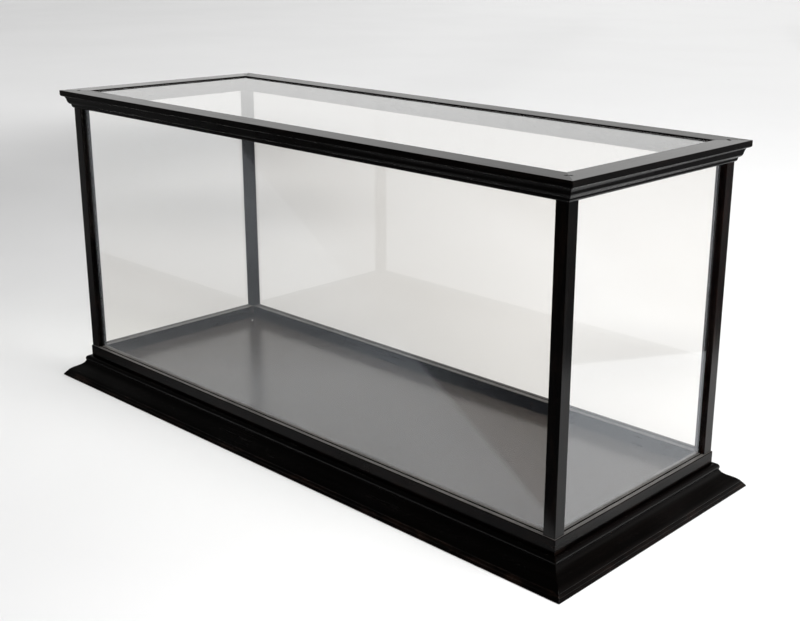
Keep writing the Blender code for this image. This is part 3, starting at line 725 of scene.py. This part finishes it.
# ------------------------------------------------------------------ glass
def pane_mesh(name, half_x, half_y, thick):
    """A pane in the XY plane with arrissed, ground edges; the edges take the second material."""
    chamfer = 0.35
    rings = ((-thick / 2, chamfer), (-thick / 2 + chamfer, 0.0), (thick / 2 - chamfer, 0.0), (thick / 2, chamfer))
    work = bmesh.new()
    rows = []
    for z, back in rings:
        x, y = half_x - back, half_y - back
        cut = 1.2
        outline = [(-x + cut, -y), (x - cut, -y), (x, -y + cut), (x, y - cut), (x - cut, y), (-x + cut, y), (-x, y - cut), (-x, -y + cut)]
        rows.append([work.verts.new(Vector((px, py, z)) * MM) for px, py in outline])
    for a, b in zip(rows, rows[1:]):
        for i in range(8):
            face = work.faces.new((a[i - 1], a[i], b[i], b[i - 1]))
            face.material_index = 1
    work.faces.new(rows[0][::-1])
    work.faces.new(rows[-1])
    bmesh.ops.recalc_face_normals(work, faces=work.faces)
    mesh = bpy.data.meshes.new(name)
    work.to_mesh(mesh)
    work.free()
    return mesh


height = (PANE_TOP - PANE_LOW) / 2
for turn, side in enumerate(SIDES):
    half = (HALF_X if turn % 2 == 0 else HALF_Y) - PANE_END
    inset = PANE_INSET + GLASS / 2
    place = Vector(((0, inset - HALF_Y), (HALF_X - inset, 0), (0, HALF_Y - inset), (inset - HALF_X, 0))[turn] + (PANE_LOW + height,)) * MM
    piece = add(side + "_glass_pane", pane_mesh(side + "_glass", half, height, GLASS),
                Matrix.Translation(place) @ Matrix.Rotation(turn * math.pi / 2, 4, "Z") @ Matrix.Rotation(math.pi / 2, 4, "X"))
    wear_piece(piece, [GLASS_FACE, GLASS_EDGE], side + "_pane", "pane_glass", "pane_" + side)
piece = add("lid_glass_pane", pane_mesh("lid_glass", 452.2, 146.7, GLASS), Matrix.Translation((0, 0, 456.5 * MM)))
wear_piece(piece, [GLASS_FACE, GLASS_EDGE], "lid", "pane_glass", "top_pane")

# ------------------------------------------------------------------ floor board: the frame's own solid
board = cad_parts["base_board"]
board.data.materials.clear()
board.data.materials.append(FLOOR_WOOD)

# ------------------------------------------------------------------ camera
azimuth, elevation, roll = (math.radians(a) for a in (42.20, 16.87, 0.75))
back = Vector((math.sin(azimuth) * math.cos(elevation), -math.cos(azimuth) * math.cos(elevation), math.sin(elevation)))
level = Vector((math.cos(azimuth), math.sin(azimuth), 0))
upright = back.cross(level)
right = level * math.cos(roll) + upright * math.sin(roll)
up = upright * math.cos(roll) - level * math.sin(roll)
eye = (Vector((0, 0, 0.2)) + back * 1.757 + right * 0.1248 + up * 0.0013) * 0.973
camera = bpy.data.objects.new("camera", bpy.data.cameras.new("camera"))
scene.collection.objects.link(camera)
camera.matrix_world = Matrix((
    (right.x, up.x, back.x, eye.x), (right.y, up.y, back.y, eye.y), (right.z, up.z, back.z, eye.z), (0, 0, 0, 1)))
camera.data.sensor_width = 36.0
camera.data.lens = 36.0 * 1195.3 / 800.0
camera.data.shift_x = (400.0 - 453.4) / 800.0
camera.data.shift_y = (297.3 - 310.5) / 800.0
camera.data.clip_start, camera.data.clip_end = 0.02, 200.0
scene.camera = camera


# ------------------------------------------------------------------ stage and light
def flat(name, corners, z):
    mesh = bpy.data.meshes.new(name)
    work = bmesh.new()
    work.faces.new([work.verts.new((x, y, z)) for x, y in corners])
    bmesh.ops.recalc_face_normals(work, faces=work.faces)
    work.to_mesh(mesh)
    work.free()
    obj = add(name, mesh)
    return obj


ground = flat("studio_ground", [(-40, -40), (40, -40), (40, 40), (-40, 40)], -0.0004)
m = Maker("pale_ground_painted_shade")
spot = m.node("ShaderNodeSeparateXYZ")
m.put(spot.inputs[0], m.coords())
gx, gy = spot.outputs[0], spot.outputs[1]
across = m.math("ADD", m.math("MULTIPLY", gx, 0.741), m.math("MULTIPLY", gy, 0.672))


def painted_shade_patch(x, y, reach, depth):
    """A soft patch of painted shade on the paper."""
    dx, dy = m.math("SUBTRACT", gx, x), m.math("SUBTRACT", gy, y)
    off = m.math("SQRT", m.math("ADD", m.math("MULTIPLY", dx, dx), m.math("MULTIPLY", dy, dy)))
    return m.spread(off, 0.0, reach, depth, 0.0)


# The paper's tone is painted shade: darker away to the left and front where the light falls off, with soft patches of
# painted shadow around the case.
tone = m.math("SUBTRACT", m.spread(across, -4.5, 2.5, 0.74, 1.0), m.math("ADD", m.math("ADD", painted_shade_patch(-1.9, 0.35, 1.9, 0.29), painted_shade_patch(-0.05, -0.9, 0.65, 0.12)), m.math("ADD", painted_shade_patch(-0.5, 0.45, 0.75, 0.055), painted_shade_patch(0.1, 0.1, 2.0, 0.12))))
tone = m.math("SUBTRACT", tone, painted_shade_patch(-2.3, 1.4, 0.9, 0.20))
tone = m.math("SUBTRACT", tone, m.math("ADD", painted_shade_patch(-1.28, 0.76, 0.5, 0.11), painted_shade_patch(0.14, 0.54, 0.28, 0.145)))
tone = m.math("ADD", tone, m.spread(m.noise(m.coords(), 1.3, 3.0, 0.5), 0.3, 0.7, -0.01, 0.01))
mixed = m.node("ShaderNodeCombineColor")
for channel in range(3):
    m.put(mixed.inputs[channel], tone)
m.surface(m.principled(Base_Color=mixed.outputs[0], Roughness=0.75).outputs[0])
ground.data.materials.append(m.material)

# the studio beyond the paper's edges is darker; only reflections meet it
def beyond(name, start, u, v, height, crisp, near_tone, far_tone, through=False):
    """A darker field past the line through the start along u, on its v side, with an edge of some softness
    and one tone near that edge, another from a metre on. It shows in reflections only: those off an outer
    face, or those that come back out through the glass."""
    far, near = 9.0, crisp
    a, b = start - u * far, start + u * far
    card = flat(name, [tuple(a - v * near), tuple(b - v * near), tuple(b + v * far), tuple(a + v * far)], height)
    m = Maker(name)
    spot = m.node("ShaderNodeSeparateXYZ")
    m.put(spot.inputs[0], m.coords())
    gx, gy = m.math("SUBTRACT", spot.outputs[0], start.x), m.math("SUBTRACT", spot.outputs[1], start.y)
    past = m.math("ADD", m.math("MULTIPLY", gx, v.x), m.math("MULTIPLY", gy, v.y))
    cover = m.spread(past, -crisp, crisp, 0.0, 1.0)
    if through:
        mirrored = m.node("ShaderNodeLightPath").outputs["Glossy Depth"]
        cover = m.math("MULTIPLY", cover, m.spread(mirrored, 0.4, 0.6, 0.0, 1.0))
    tone = m.math("ADD", m.spread(past, 0.0, 1.0, near_tone, far_tone), m.spread(m.noise(m.coords(), 0.8, 2.0, 0.5), 0.3, 0.7, -0.008, 0.008))
    grey = m.node("ShaderNodeCombineColor")
    for channel in range(3):
        m.put(grey.inputs[channel], tone)
    dark = m.principled(Base_Color=grey.outputs[0], Roughness=0.9)
    dark.inputs["Specular IOR Level"].default_value = 0.0
    mix = m.node("ShaderNodeMixShader")
    m.put(mix.inputs[0], cover)
    m.tree.links.new(m.node("ShaderNodeBsdfTransparent").outputs[0], mix.inputs[1])
    m.tree.links.new(dark.outputs[0], mix.inputs[2])
    card.data.materials.append(m.surface(mix.outputs[0]))
    card.visible_camera = card.visible_diffuse = card.visible_shadow = card.visible_volume_scatter = False
    card.visible_glossy, card.visible_transmission = not through, through
    return card


along, away = Vector((0.866, 0.5)), Vector((0.5, -0.866))
beyond("dark_beyond_front", away * 0.426, along, away, 0.0009, 0.010, 0.07, 0.07)
beyond("dim_beyond_front", away * 0.44, along, away, 0.0012, 0.12, 0.07, 0.07, True)
beyond("dark_beyond_right", along * 0.964, -away, along, 0.0006, 0.008, 0.08, 0.19)
beyond("dark_beyond_left", along * -0.50, away, -along, 0.0003, 0.20, 0.08, 0.40)


def softbox(name, place, aim, size, power, colour=(1, 1, 1)):
    data = bpy.data.lights.new(name, "AREA")
    data.shape = "RECTANGLE"
    data.size, data.size_y = size
    data.energy, data.color = power, colour
    lamp = bpy.data.objects.new(name, data)
    scene.collection.objects.link(lamp)
    lamp.location = place
    lamp.rotation_mode = "QUATERNION"
    lamp.rotation_quaternion = (Vector(aim) - Vector(place)).to_track_quat("-Z", "Y")
    lamp.visible_camera = lamp.visible_transmission = False
    return lamp


def broad(name, toward, angle, strength):
    """Even light from a wide part of the ceiling; it gives no highlights of its own."""
    data = bpy.data.lights.new(name, "SUN")
    data.angle, data.energy = math.radians(angle), strength
    lamp = bpy.data.objects.new(name, data)
    scene.collection.objects.link(lamp)
    lamp.rotation_mode = "QUATERNION"
    lamp.rotation_quaternion = Vector(toward).to_track_quat("-Z", "Y")
    lamp.visible_camera = lamp.visible_glossy = lamp.visible_transmission = False
    return lamp


broad("ceiling_bounce", (-0.30, 0.45, -1.0), 80.0, 2.6)
softbox("key_softbox", (2.2, 0.6, 1.8), (0.7, 0.35, 0.0), (1.6, 1.6), 60.0)

world = bpy.data.worlds.new("studio")
scene.world = world
world.use_nodes = True
tree = world.node_tree
tree.nodes.clear()


def wnode(kind, **settings):
    n = tree.nodes.new(kind)
    for key, value in settings.items():
        setattr(n, key, value)
    return n


def wput(socket, value):
    if isinstance(value, bpy.types.NodeSocket):
        tree.links.new(value, socket)
    else:
        socket.default_value = value


def wmath(operation, a, b=0.0):
    n = wnode("ShaderNodeMath", operation=operation)
    wput(n.inputs[0], a)
    wput(n.inputs[1], b)
    return n.outputs[0]


def wstep(value, low, high, to_low=0.0, to_high=1.0):
    n = wnode("ShaderNodeMapRange", interpolation_type="SMOOTHSTEP", clamp=True)
    wput(n.inputs["Value"], value)
    for key, number in zip(("From Min", "From Max", "To Min", "To Max"), (low, high, to_low, to_high)):
        n.inputs[key].default_value = number
    return n.outputs["Result"]


ways = wnode("ShaderNodeSeparateXYZ")
wput(ways.inputs[0], wnode("ShaderNodeTexCoord").outputs["Generated"])
wx, wy, wz = ways.outputs
behind = wmath("ADD", wmath("MULTIPLY", wx, -0.5), wmath("MULTIPLY", wy, 0.866))
sweep = wmath("MULTIPLY", wstep(behind, 0.05, 0.55), wstep(wz, 0.26, 0.62, 1.0, 0.06))
strength = wmath("ADD", wmath("MULTIPLY", sweep, 0.88), 0.08)
shown = wmath("MAXIMUM", wnode("ShaderNodeLightPath").outputs["Is Camera Ray"], wnode("ShaderNodeLightPath").outputs["Is Transmission Ray"])
mixed = wnode("ShaderNodeMix", data_type="FLOAT")
wput(mixed.inputs[0], shown)
wput(mixed.inputs[2], strength)
# the wall is a little dimmer to the left, as the floor board mirrors it
leftward = wmath("ADD", wmath("MULTIPLY", wx, -0.741), wmath("MULTIPLY", wy, -0.672))
mirrored = wstep(wnode("ShaderNodeLightPath").outputs["Glossy Depth"], 0.4, 0.6)
wput(mixed.inputs[3], wmath("SUBTRACT", 0.80, wmath("MULTIPLY", mirrored, wstep(leftward, 0.03, 0.16, 0.0, 0.13))))
light = wnode("ShaderNodeBackground")
light.inputs["Color"].default_value = (1.0, 0.995, 0.985, 1.0)
wput(light.inputs["Strength"], mixed.outputs[0])
sky = wnode("ShaderNodeOutputWorld")
tree.links.new(light.outputs[0], sky.inputs["Surface"])

scene.view_settings.view_transform = "Standard"
scene.view_settings.look = "None"
